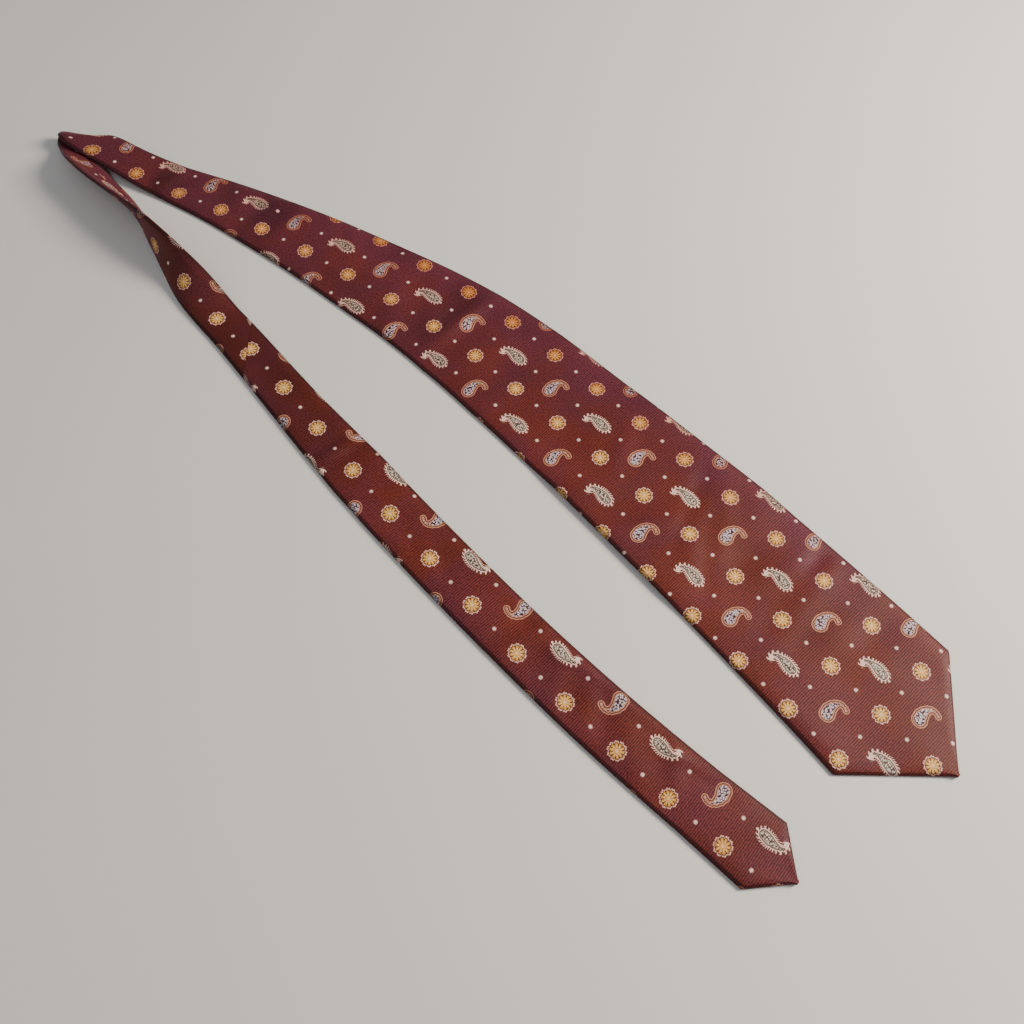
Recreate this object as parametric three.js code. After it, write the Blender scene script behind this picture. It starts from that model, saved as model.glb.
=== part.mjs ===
// A lined silk necktie lying front up, folded back on itself at the neck.
// Lengths are in millimetres and +Z is up. The blades run along +X from the fold, and the wide blade
// lies on the +Y side of the tail. The origin is under the middle of the tie, on the table.
import * as THREE from "three";

// Driving dimensions
const tie_length = 1349.3; // from the point of the front blade to the point of the tail
const blade_width = 102;
const tail_width = 41.5;
const neck_width = 26.5;
const blade_tip_depth = 44.5; // from the point to the shoulders
const tail_tip_depth = 20;
const blunt_width = 3; // the points are rounded off to this width
const cloth = 0.6; // shell silk, with the nap and the air in it
const interlining = 1.4;
const tipping_cloth = 0.4;
const clearance = 0.3; // between layers that lie face to face
const fold_gap = 4.6; // between the two legs at the neck fold
const hem = 9; // shell turned to the back around each point
const back_seam_gap = 2; // between the two wings, where the slip stitch runs
const thread = 0.4;
const front_tack_from_tip = 118;
const tail_tack_from_tip = 66;
const tack_width = 3.6;
const tack_length = 2.4;
const tail_piece_length = 432; // from the point of the tail to its diagonal seam
const seam_slant = 1.2; // millimetres along the tie for each millimetre across it
const seam_fade = 60; // length over which the cuts turn from the seam's slant to square
const seam_width = 0.4; // stitched seam line
const pivot_gap = 1.5; // slack in the seam where the neck bends
const keeper_from_tip = 222;
const keeper_width = 11;
const keeper_span = 50;
const keeper_cloth = 0.5;
const keeper_room = 0.7; // height of the slot that the tail passes through
const keeper_foot = 4;
const maker_label = { from_tip: 186, along: 24, across: 56, thickness: 0.3 };
const care_label = { from_tip: 250, along: 18, across: 12, thickness: 0.3 };
const drawn_length = 1349.3; // the length of the route below as it is written

const thickness = 2 * cloth + interlining + 2 * clearance;
const label_lift = keeper_cloth + keeper_room;
const over = thickness + fold_gap;
const length_scale = tie_length / drawn_length;
const degree = Math.PI / 180;

// The middle line of the tie from the front point to the pivot in the neck: x and y on the table, the
// lift above what the strip would touch lying flat, the direction from the middle to the near edge, in
// degrees from +X, and how far that edge is turned up. A strip turned up stands on its other edge.
const front_route = [
  [698, 43.3, 0, -96, 0],
  [640, 51.7, 0, -95.4, 0],
  [590, 57.6, 0, -96, 0],
  [545, 62.2, 0, -95.2, 0],
  [524, 63.9, label_lift, -94.4, 0],
  [482, 66.5, label_lift, -93.8, 0],
  [438, 69, label_lift, -92.4, 0],
  [415, 70.1, 0, -91.8, 0],
  [365, 71.8, 0, -91, 0],
  [325, 71.2, 0, -86.5, 0],
  [285, 67.6, 0, -82.4, 0],
  [245, 61.2, 0, -80.6, 0],
  [205, 54.2, 0, -78.6, 0],
  [165, 45.2, 0, -76.4, 0],
  [125, 35, 0, -75.4, 0],
  [92, 25, 0.1 * over, -76, 0],
  [70, 18, 0.45 * over, -80, 0],
  [52, 13, 0.85 * over, -86, 0],
  [36, 8, over, -104, 0],
  [23.4, 1.4, over, -142, 0],
  [19.4, 3.6, over / 2, -148, 0],
  [23.4, -1.6, 0, -146, 2],
  [34, -5, 0, -136, 12],
  [48, -9.6, 0, -115, 34],
  [64, -12.4, 0, -99, 46],
  [82, -13, 0, -93, 52],
  [102, -14.4, 0, -92, 64],
  [122, -18.8, 0, -92, 90],
];
// From the pivot to the point of the tail.
const tail_route = [
  [140, -22, 0, -96, 106],
  [162, -25.6, 0, -98, 130],
  [186, -27.6, 0, -98, 162],
  [206, -29.4, 0, -97.4, 178],
  [225, -31.4, 0, -98, 180],
  [265, -36.8, 0, -97.6, 180],
  [305, -41.8, 0, -97, 180],
  [345, -46.2, 0, -96.4, 180],
  [385, -50.4, 0, -95.4, 180],
  [425, -53.8, 0, -94.6, 180],
  [465, -56.6, 0, -93.6, 180],
  [505, -58.6, 0, -92, 180],
  [545, -59.6, 0, -91, 180],
  [585, -59.4, 0, -89, 180],
  [625, -58.4, 0, -88.6, 180],
  [666, -57.4, 0, -88.6, 180],
];

// Width of the strip: shares of the way from the neck's width to the blade's, at distances from its point.
const front_taper = [
  [blade_tip_depth, 1],
  [175, 0.91],
  [260, 0.81],
  [335, 0.75],
  [380, 0.68],
  [456, 0.49],
  [520, 0.32],
  [570, 0.18],
  [612, 0.07],
  [650, 0],
];
const tail_taper = [
  [tail_tip_depth, 1],
  [60, 0.82],
  [180, 0.66],
  [320, 0.62],
  [382, 0.26],
  [463, 0],
];

function shareAt(taper, distance) {
  const after = taper.findIndex(([at]) => at * length_scale > distance);
  if (after < 0) return taper.at(-1)[1];
  if (after === 0) return taper[0][1];
  const [from, first] = taper[after - 1];
  const [to, second] = taper[after];
  return THREE.MathUtils.mapLinear(distance / length_scale, from, to, first, second);
}

function bladeWidth(distance, taper, full_width, tip_depth) {
  const body = THREE.MathUtils.lerp(neck_width, full_width, shareAt(taper, distance));
  if (distance >= tip_depth) return body;
  return Math.max(blunt_width, (full_width * distance) / tip_depth);
}

// The wider of the two tapers counts, so that each blade keeps its own length of taper.
function widthNear(front_distance, tail_distance) {
  const front = bladeWidth(front_distance, front_taper, blade_width, blade_tip_depth);
  const tail = bladeWidth(tail_distance, tail_taper, tail_width, tail_tip_depth);
  return front_distance < tail_distance ? front : tail;
}

const stations = [...front_route, ...tail_route];
const pivot_index = front_route.length - 1;
const fold_index = front_route.findIndex(([, , lift]) => lift === over / 2);

function drawnDistances() {
  const found = [0];
  for (let i = 1; i < stations.length; i += 1) {
    const [x, y, lift] = stations[i];
    const [last_x, last_y, last_lift] = stations[i - 1];
    const step = Math.hypot((x - last_x) * length_scale, (y - last_y) * length_scale, lift - last_lift);
    found.push(found.at(-1) + step);
  }
  return found;
}

// How high the middle of the strip is when its lower edge or face rests on the table.
function restingHeight(side, width) {
  return (Math.abs(side.z) * width + Math.hypot(side.x, side.y) * thickness) / 2;
}

function sideAt([, , , direction, turned]) {
  const flat = Math.cos(turned * degree);
  const x = flat * Math.cos(direction * degree);
  const y = flat * Math.sin(direction * degree);
  return new THREE.Vector3(x, y, Math.sin(turned * degree));
}

function middlePoints() {
  const distances = drawnDistances();
  const whole = distances.at(-1);
  return stations.map((station, i) => {
    const [x, y, lift] = station;
    const width = widthNear(distances[i], whole - distances[i]);
    const height = lift + restingHeight(sideAt(station), width);
    return new THREE.Vector3(x * length_scale, y * length_scale, height);
  });
}

const divisions = 40 * (stations.length - 1);
const middle = new THREE.CatmullRomCurve3(middlePoints());
middle.arcLengthDivisions = divisions;
const across = new THREE.CatmullRomCurve3(stations.map(sideAt));
const whole_length = middle.getLength();
const pivot_at = middle.getLengths()[40 * pivot_index];
const fold_at = middle.getLengths()[40 * fold_index];

function widthAt(s) {
  return widthNear(s, whole_length - s);
}

// Takes a place in the flat tie to its place in the laid tie: s along the tie from the front point, t
// across it towards the near edge, n up from the back face.
function lay(s, t, n) {
  const at = middle.getUtoTmapping(0, THREE.MathUtils.clamp(s, 0, whole_length));
  const along = middle.getTangent(at);
  const side = across.getPoint(at).normalize();
  const up = new THREE.Vector3().crossVectors(along, side).normalize();
  const place = middle.getPoint(at);
  place.z = Math.max(place.z, restingHeight(side, widthAt(s)));
  place.addScaledVector(side, t);
  place.addScaledVector(up, n - thickness / 2);
  return place;
}

// A closed solid through rings of laid points. Each ring is the same polygon of flat [t, n] corners at the
// next place along. Faces are split from the far edge to the near one in every layer, so that the layers
// stay parallel where the strip twists.
function loft(name, rings, flat, material) {
  const count = flat.length;
  const positions = rings.flat().flatMap((point) => [point.x, point.y, point.z]);
  const faces = [];
  for (let ring = 0; ring < rings.length - 1; ring += 1) {
    for (let i = 0; i < count; i += 1) {
      const next = (i + 1) % count;
      const a = ring * count + i;
      const b = ring * count + next;
      if (flat[i].x < flat[next].x) faces.push([a, b, b + count], [a, b + count, a + count]);
      else faces.push([a, b, a + count], [b, b + count, a + count]);
    }
  }
  const last = (rings.length - 1) * count;
  for (const [a, b, c] of THREE.ShapeUtils.triangulateShape(flat, [])) {
    faces.push([a, c, b], [a + last, b + last, c + last]);
  }
  const geometry = new THREE.BufferGeometry();
  geometry.setAttribute("position", new THREE.Float32BufferAttribute(positions, 3));
  const outward = signedVolume(positions, faces) > 0;
  geometry.setIndex(faces.flatMap(([a, b, c]) => (outward ? [a, b, c] : [a, c, b])));
  geometry.computeVertexNormals();
  const mesh = new THREE.Mesh(geometry, material);
  mesh.name = name;
  return mesh;
}

function signedVolume(positions, faces) {
  const corner = (i) => new THREE.Vector3().fromArray(positions, 3 * i);
  return faces.reduce((sum, [a, b, c]) => sum + corner(a).dot(corner(b).cross(corner(c))), 0);
}

// The two ends of the tie, each with its own point, tack and hem.
const front = {
  corner: blade_tip_depth,
  full: blade_width,
  tack: front_tack_from_tip,
};
const tail = {
  corner: tail_tip_depth,
  full: tail_width,
  tack: tail_tack_from_tip,
};
const shut = back_seam_gap / 2;

// Half the opening between the wings on the back, at a distance from a point. The hem runs round the
// point, then the wings close towards the bar tack and meet along the back seam.
function opening(distance, end) {
  const widest = end.full / 2 - hem;
  if (distance >= end.tack) return shut;
  if (distance <= end.corner) return Math.max(shut, (end.full * distance) / end.corner / 2 - hem);
  return THREE.MathUtils.mapLinear(distance, end.corner, end.tack, widest, shut);
}

// The distance from a point at which the closing wings leave half an opening of this size.
function closingPlace(half_opening, end) {
  return THREE.MathUtils.mapLinear(half_opening, end.full / 2 - hem, shut, end.corner, end.tack);
}

function openingAt(s) {
  const from_tail = whole_length - s;
  return s < from_tail ? opening(s, front) : opening(from_tail, tail);
}

// The shell's section: up one wing, round both folded edges and back inside, as [t, n] corners.
function shellSection(s) {
  const half = widthAt(s) / 2;
  const open = Math.min(openingAt(s), half - 2 * cloth);
  const round = Math.min(thickness / 2, half / 2);
  const inside = half - cloth;
  const wing = [
    [open, 0],
    [half - round, 0],
    [half, round * 0.6],
    [half, thickness - round * 0.6],
    [half - round, thickness],
  ];
  const lining_side = [
    [half - round, thickness - cloth],
    [inside, thickness - cloth - round * 0.3],
    [inside, cloth + round * 0.3],
    [half - round, cloth],
    [open, cloth],
  ];
  const mirrored = (points) => points.map(([t, n]) => [-t, n]).reverse();
  const outside = [...wing, [0, thickness], ...mirrored(wing)];
  return [...outside, ...mirrored(lining_side), [0, thickness - cloth], ...lining_side];
}

// A flat bar's section; its half width may change along the tie.
function barSection(half_width, low, high) {
  return (s) => {
    const half = typeof half_width === "function" ? half_width(s) : half_width;
    return [
      [half, low],
      [half, high],
      [0, high],
      [-half, high],
      [-half, low],
      [0, low],
    ];
  };
}

function clothMaterial(colour, roughness) {
  return new THREE.MeshStandardMaterial({ color: colour, roughness, metalness: 0 });
}

const silk = clothMaterial("#6e3030", 0.55);
const lining = clothMaterial("#4f2326", 0.45);
const wool = clothMaterial("#d9d2c3", 0.95);
const satin = clothMaterial("#d8cfc4", 0.5);
const yarn = clothMaterial("#4a1f1f", 0.7);

// Places where the pieces start and end
const front_start = (blunt_width / blade_width) * blade_tip_depth;
const tail_end = whole_length - (blunt_width / tail_width) * tail_tip_depth;
const seam_at = whole_length - tail_piece_length * length_scale;
const seam_half = clearance + seam_width / 2;
const neck_start = pivot_at + pivot_gap / 2;
const front_seam_end = pivot_at - pivot_gap / 2;
const front_end = front_seam_end - seam_width - clearance;
const hemPlace = (end) => (2 * hem * end.corner) / end.full;
const tackEnd = (end) => closingPlace(tack_width / 2 + clearance, end);
const tackStart = (end) => tackEnd(end) - tack_length;
const tippingStart = (end) => hemPlace(end) + ((clearance + 1) * 2 * end.corner) / end.full;
const tippingEnd = (end) => tackStart(end) - clearance;
const fromTail = (distance) => whole_length - distance;

// Distances from a point at which the width or the opening changes its rate.
function kinks(taper, end) {
  return [hemPlace(end), end.corner, end.tack, ...taper.map(([at]) => at * length_scale)];
}

// Rings stand close together where the strip folds, twists or is lifted.
function ringStep(s) {
  if (Math.abs(s - fold_at) < 34) return 1.6;
  if (s > fold_at - 130 && s < pivot_at + 120) return 5;
  if (s > front_tack_from_tip && s < care_label.from_tip + 45) return 11;
  return 24;
}

// Every piece has its rings at the same places, so that the layers bend together.
function commonRings() {
  const places = [...kinks(front_taper, front), ...kinks(tail_taper, tail).map(fromTail)];
  for (let s = ringStep(0); s < whole_length; s += ringStep(s)) {
    places.push(s);
  }
  return places.sort((a, b) => a - b).filter((s, i, all) => i === 0 || s - all[i - 1] > 0.8);
}

const common_rings = commonRings();

function ringPlaces(start, end) {
  return [start, ...common_rings.filter((s) => s > start + 0.4 && s < end - 0.4), end];
}

// The cuts lean over at the tail's seam and turn square again on both sides of it.
function slantNear(s) {
  return -seam_slant * Math.max(0, 1 - Math.abs(s - seam_at) / seam_fade);
}

// A strip of the tie from start to end.
function strip(name, start, end, section, material) {
  const places = ringPlaces(start, end);
  const rings = places.map((s) => section(s).map(([t, n]) => lay(s + slantNear(s) * t, t, n)));
  const corners = section(start).map(([t, n]) => new THREE.Vector2(t, n));
  return loft(name, rings, corners, material);
}

function shells() {
  return [
    strip("front_blade_shell", front_start, front_end, shellSection, silk),
    strip("neck_shell", neck_start, seam_at - seam_half, shellSection, silk),
    strip("tail_shell", seam_at + seam_half, tail_end, shellSection, silk),
  ];
}

function neckSeams() {
  return [
    strip("front_neck_seam", front_seam_end - seam_width, front_seam_end, shellSection, yarn),
    strip("tail_neck_seam", seam_at - seam_width / 2, seam_at + seam_width / 2, shellSection, yarn),
  ];
}

// The interlining fills the shell, short of its folded edges and its points.
function interlinings() {
  const edge_room = thickness / 2;
  const low = cloth + clearance;
  const section = barSection((s) => widthAt(s) / 2 - edge_room, low, low + interlining);
  return [
    strip("front_interlining", front_start + edge_room * 2, front_end, section, wool),
    strip("tail_interlining", neck_start, tail_end - edge_room * 2, section, wool),
  ];
}

// The tipping closes the opening between the wings, edge to edge with the hem.
function tippings() {
  const low = (cloth - tipping_cloth) / 2;
  const section = barSection((s) => openingAt(s) - clearance, low, low + tipping_cloth);
  return [
    strip("front_tipping", tippingStart(front), tippingEnd(front), section, lining),
    strip("tail_tipping", fromTail(tippingEnd(tail)), fromTail(tippingStart(tail)), section, lining),
  ];
}

function backStitching() {
  const low = (cloth - thread) / 2;
  const bar = barSection(tack_width / 2, low, low + thread);
  const line = barSection(thread / 2, low, low + thread);
  return [
    strip("front_bar_tack", tackStart(front), tackEnd(front), bar, yarn),
    strip("tail_bar_tack", fromTail(tackEnd(tail)), fromTail(tackStart(tail)), bar, yarn),
    strip("front_slip_stitch", tackEnd(front) + clearance, front_end, line, yarn),
    strip("tail_slip_stitch", neck_start, fromTail(tackEnd(tail)) - clearance, line, yarn),
  ];
}

// A band across the back of the front blade, held at both ends, that the tail slips through.
function keeper() {
  const half = keeper_span / 2;
  const bottom = -label_lift;
  const band_top = bottom + keeper_cloth;
  const band = () => [
    [half, bottom],
    [half, -clearance],
    [half - keeper_foot, -clearance],
    [half - keeper_foot, band_top],
    [keeper_foot - half, band_top],
    [keeper_foot - half, -clearance],
    [-half, -clearance],
    [-half, bottom],
  ];
  const stitch = (from) => () => [
    [from, -clearance - thread],
    [from + thread * 2, -clearance - thread],
    [from + thread * 2, -clearance],
    [from, -clearance],
  ];
  const start = keeper_from_tip - keeper_width / 2;
  const end = keeper_from_tip + keeper_width / 2;
  return [
    strip("keeper_loop", start, end, band, silk),
    strip("keeper_stitch_near", start, end, stitch(half + clearance), yarn),
    strip("keeper_stitch_far", start, end, stitch(-half - clearance - thread * 2), yarn),
  ];
}

function label(name, size) {
  const section = barSection(size.across / 2, -clearance - size.thickness, -clearance);
  return strip(name, size.from_tip - size.along / 2, size.from_tip + size.along / 2, section, satin);
}

const tie = new THREE.Group();
tie.add(...shells(), ...neckSeams(), ...interlinings(), ...tippings(), ...backStitching());
tie.add(...keeper(), label("maker_label", maker_label), label("care_label", care_label));

const middle_of_box = new THREE.Box3().setFromObject(tie).getCenter(new THREE.Vector3());
tie.position.set(-middle_of_box.x, -middle_of_box.y, 0);

export default tie;
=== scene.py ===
"""A lined silk necktie, lying front up and folded back at the neck, built round its CAD frame."""

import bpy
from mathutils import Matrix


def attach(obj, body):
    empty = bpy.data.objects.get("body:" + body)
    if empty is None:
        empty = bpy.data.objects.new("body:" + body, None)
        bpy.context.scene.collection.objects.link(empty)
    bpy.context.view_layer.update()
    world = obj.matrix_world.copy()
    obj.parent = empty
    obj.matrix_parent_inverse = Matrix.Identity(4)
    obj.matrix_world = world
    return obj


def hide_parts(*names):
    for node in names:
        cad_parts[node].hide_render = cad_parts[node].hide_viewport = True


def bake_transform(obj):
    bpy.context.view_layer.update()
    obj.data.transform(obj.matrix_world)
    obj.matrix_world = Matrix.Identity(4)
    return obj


bl_info = {
    "name": "Necktie",
    "version": (1, 0, 0),
    "blender": (4, 5, 0),
    "location": "View3D > Sidebar > Necktie",
    "description": "Builds a woven silk necktie with its lining, stitching, keeper and labels",
    "category": "Add Mesh",
}

import math

import bmesh
import bpy
import numpy as np
from bpy.props import FloatProperty, FloatVectorProperty, PointerProperty
from mathutils import Matrix

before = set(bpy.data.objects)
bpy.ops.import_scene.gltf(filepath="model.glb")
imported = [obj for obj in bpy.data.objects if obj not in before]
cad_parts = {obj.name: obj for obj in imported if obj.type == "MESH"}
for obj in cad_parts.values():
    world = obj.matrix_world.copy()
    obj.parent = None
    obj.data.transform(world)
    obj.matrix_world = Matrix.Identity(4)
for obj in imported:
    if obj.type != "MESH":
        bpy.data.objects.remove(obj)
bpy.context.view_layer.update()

MM = 0.001


def linear(hex_colour):
    """Turns an sRGB hex value into the linear RGBA that a shader works in."""
    parts = [int(hex_colour[i : i + 2], 16) / 255 for i in (1, 3, 5)]
    return (*(c / 12.92 if c <= 0.04045 else ((c + 0.055) / 1.055) ** 2.4 for c in parts), 1.0)


def size_property(name, description, default):
    """A length in metres, given here in millimetres."""
    return FloatProperty(name=name, description=description, default=default * MM, unit="LENGTH", precision=4)


def colour_property(name, description, hex_colour):
    """A colour, given here as an sRGB hex value."""
    return FloatVectorProperty(
        name=name, description=description, default=linear(hex_colour), size=4, min=0, max=1, subtype="COLOR"
    )


class NecktieSizes(bpy.types.PropertyGroup):
    """Sizes of the tie and its layers."""

    blade_width: size_property("Blade width", "Width across the front blade's shoulders", 102)
    tail_width: size_property("Tail width", "Width across the tail's shoulders", 41.5)
    neck_width: size_property("Neck width", "Width of the strip round the neck", 26.5)
    cloth: size_property("Shell cloth", "Thickness of the shell silk", 0.6)
    interlining: size_property("Interlining", "Thickness of the wool inside", 1.4)
    edge_drop: size_property("Edge drop", "How far the front rolls down at the folded edges", 0.95)
    edge_roll: size_property("Edge roll", "Width of the rolled shoulder at a folded edge", 9)
    lap: size_property("Back lap", "How far one wing laps over the other on the back", 1.6)
    pattern_repeat: size_property("Pattern repeat", "Spacing of the woven motifs", 25.4)
    twill_pitch: size_property("Twill pitch", "Spacing of the twill lines", 1.3)


class NecktieColours(bpy.types.PropertyGroup):
    """Colours of the yarns and linings."""

    ground_dark: colour_property("Ground, dark", "Hollows between the twill lines", "#3b1115")
    ground_light: colour_property("Ground, light", "Tops of the twill lines", "#793222")
    # Plum ground: shown in random clouds, and where a plum sheen is painted.
    ground_plum: colour_property("Ground, plum", "Where the nap is turned", "#70323c")
    ivory: colour_property("Ivory", "Outlines of rosettes and toothed paisleys", "#ecc8b6")
    gold: colour_property("Gold", "Petals of the rosettes", "#d99e45")
    rim: colour_property("Rosette rim", "Scalloped rim of the rosettes", "#e6b3a0")
    peach: colour_property("Peach", "Outlines of the smooth paisleys", "#bd8468")
    lilac: colour_property("Lilac", "Flowers in the smooth paisleys", "#a99aa3")
    sage: colour_property("Sage", "Filling of the toothed paisleys", "#9a9080")
    lining: colour_property("Tipping", "Satin behind the points", "#54242a")
    wool: colour_property("Wool", "Interlining", "#d9d2c3")
    label: colour_property("Label", "Blank sewn labels", "#d8cfc4")
    thread: colour_property("Thread", "Sewing thread", "#5a2428")


class NecktieStage(bpy.types.PropertyGroup):
    """Floor, light and camera."""

    floor: colour_property("Floor", "Plain floor", "#d9d6d0")
    key_power: FloatProperty(
        name="Key light", description="Power of the main soft light", default=33, unit="POWER"
    )
    fill_power: FloatProperty(
        name="Fill light", description="Power of the weaker light", default=4, unit="POWER"
    )
    focal_length: FloatProperty(
        name="Focal length",
        description="Camera lens in millimetres",
        default=35.156,
        subtype="DISTANCE_CAMERA",
    )


# The middle line of the tie from the front point to the tail's: x and y on the table, the lift above where
# it would rest, the direction from the middle to the near edge in degrees from +X, and how far that edge is
# turned up. All lengths below are in millimetres until a mesh is made.
LABEL_LIFT = 1.2
OVER = 7.8
ROUTE = [
    (698, 43.3, 0, -96, 0),
    (640, 51.7, 0, -95.4, 0),
    (590, 57.6, 0, -96, 0),
    (545, 62.2, 0, -95.2, 0),
    (524, 63.9, LABEL_LIFT, -94.4, 0),
    (482, 66.5, LABEL_LIFT, -93.8, 0),
    (438, 69, LABEL_LIFT, -92.4, 0),
    (415, 70.1, 0, -91.8, 0),
    (365, 71.8, 0, -91, 0),
    (325, 71.2, 0, -86.5, 0),
    (285, 67.6, 0, -82.4, 0),
    (245, 61.2, 0, -80.6, 0),
    (205, 54.2, 0, -78.6, 0),
    (165, 45.2, 0, -76.4, 0),
    (125, 34.4, 0, -75.4, 0),
    (92, 23.2, 0.1 * OVER, -75, 0),
    (70, 15.8, 0.45 * OVER, -76, 0),
    (52, 10.4, 0.85 * OVER, -81, 0),
    (36, 5.8, OVER, -101, 0),
    (23.4, 1.6, OVER, -140, 0),
    (19.4, 3.6, OVER / 2, -148, 0),
    (23.4, -1.6, 0, -146, 2),
    (34, -5, 0, -136, 12),
    (48, -9.6, 0, -115, 34),
    (64, -12.4, 0, -99, 46),
    (82, -13, 0, -93, 52),
    (102, -14.4, 0, -92, 64),
    (122, -18.8, 0, -92, 90),
    (140, -22, 0, -96, 106),
    (162, -25.6, 0, -98, 130),
    (186, -27.6, 0, -98, 162),
    (206, -29.4, 0, -97.4, 178),
    (225, -31.4, 0, -98, 180),
    (265, -36.8, 0, -97.6, 180),
    (305, -41.8, 0, -97, 180),
    (345, -46.2, 0, -96.4, 180),
    (385, -50.4, 0, -95.4, 180),
    (425, -53.8, 0, -94.6, 180),
    (465, -56.6, 0, -93.6, 180),
    (505, -58.6, 0, -92, 180),
    (545, -59.6, 0, -91, 180),
    (585, -59.4, 0, -89, 180),
    (625, -58.4, 0, -88.6, 180),
    (666, -57.4, 0, -88.6, 180),
]
PIVOT_INDEX = 27
FOLD_INDEX = 20
ORIGIN = (352.283926, 17.437168, 0)
FRONT_TAPER = [
    (44.5, 1),
    (175, 0.91),
    (260, 0.81),
    (335, 0.75),
    (380, 0.68),
    (456, 0.49),
    (520, 0.32),
    (570, 0.18),
    (612, 0.07),
    (650, 0),
]
TAIL_TAPER = [(20, 1), (60, 0.82), (180, 0.66), (320, 0.62), (382, 0.26), (463, 0)]
FRONT_TIP_DEPTH = 44.5
TAIL_TIP_DEPTH = 20
FRONT_TACK = 118
TAIL_TACK = 66
TAIL_PIECE = 432
HEM = 9
BLUNT = 3
GAP = 0.3
SEAM_SLANT = 1.2
SEAM_FADE = 60
BACK_GAP = 2.0
KEEPER_AT = 222
# Length and thread pitch of a bar tack
TACK_LENGTH = 2.4
TACK_PITCH = 0.48
TACK_GAP = 3.6
SEAM_HALF = 0.28
SLIP_PITCH = 14
# Puckers placed beyond this are counted from the tail's point instead of the front's.
FROM_TAIL = 1000


def curve_points(points, t):
    """Points on a centripetal Catmull-Rom curve through the given ones, at parameters from 0 to 1."""
    points = np.asarray(points, float)
    padded = np.vstack([2 * points[0] - points[1], points, 2 * points[-1] - points[-2]])
    last = len(points) - 1
    place = np.clip(np.asarray(t, float), 0, 1) * last
    index = np.minimum(place.astype(int), last - 1)
    w = (place - index)[:, None]
    p0, p1, p2, p3 = (padded[index + k] for k in range(4))
    gaps = [np.sqrt(np.linalg.norm(b - a, axis=1))[:, None] for a, b in ((p0, p1), (p1, p2), (p2, p3))]
    g1 = np.where(gaps[1] < 1e-4, 1.0, gaps[1])
    g0 = np.where(gaps[0] < 1e-4, g1, gaps[0])
    g2 = np.where(gaps[2] < 1e-4, g1, gaps[2])
    m1 = ((p1 - p0) / g0 - (p2 - p0) / (g0 + g1) + (p2 - p1) / g1) * g1
    m2 = ((p2 - p1) / g1 - (p3 - p1) / (g1 + g2) + (p3 - p2) / g2) * g1
    return p1 + m1 * w + (3 * (p2 - p1) - 2 * m1 - m2) * w**2 + (2 * (p1 - p2) + m1 + m2) * w**3


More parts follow.
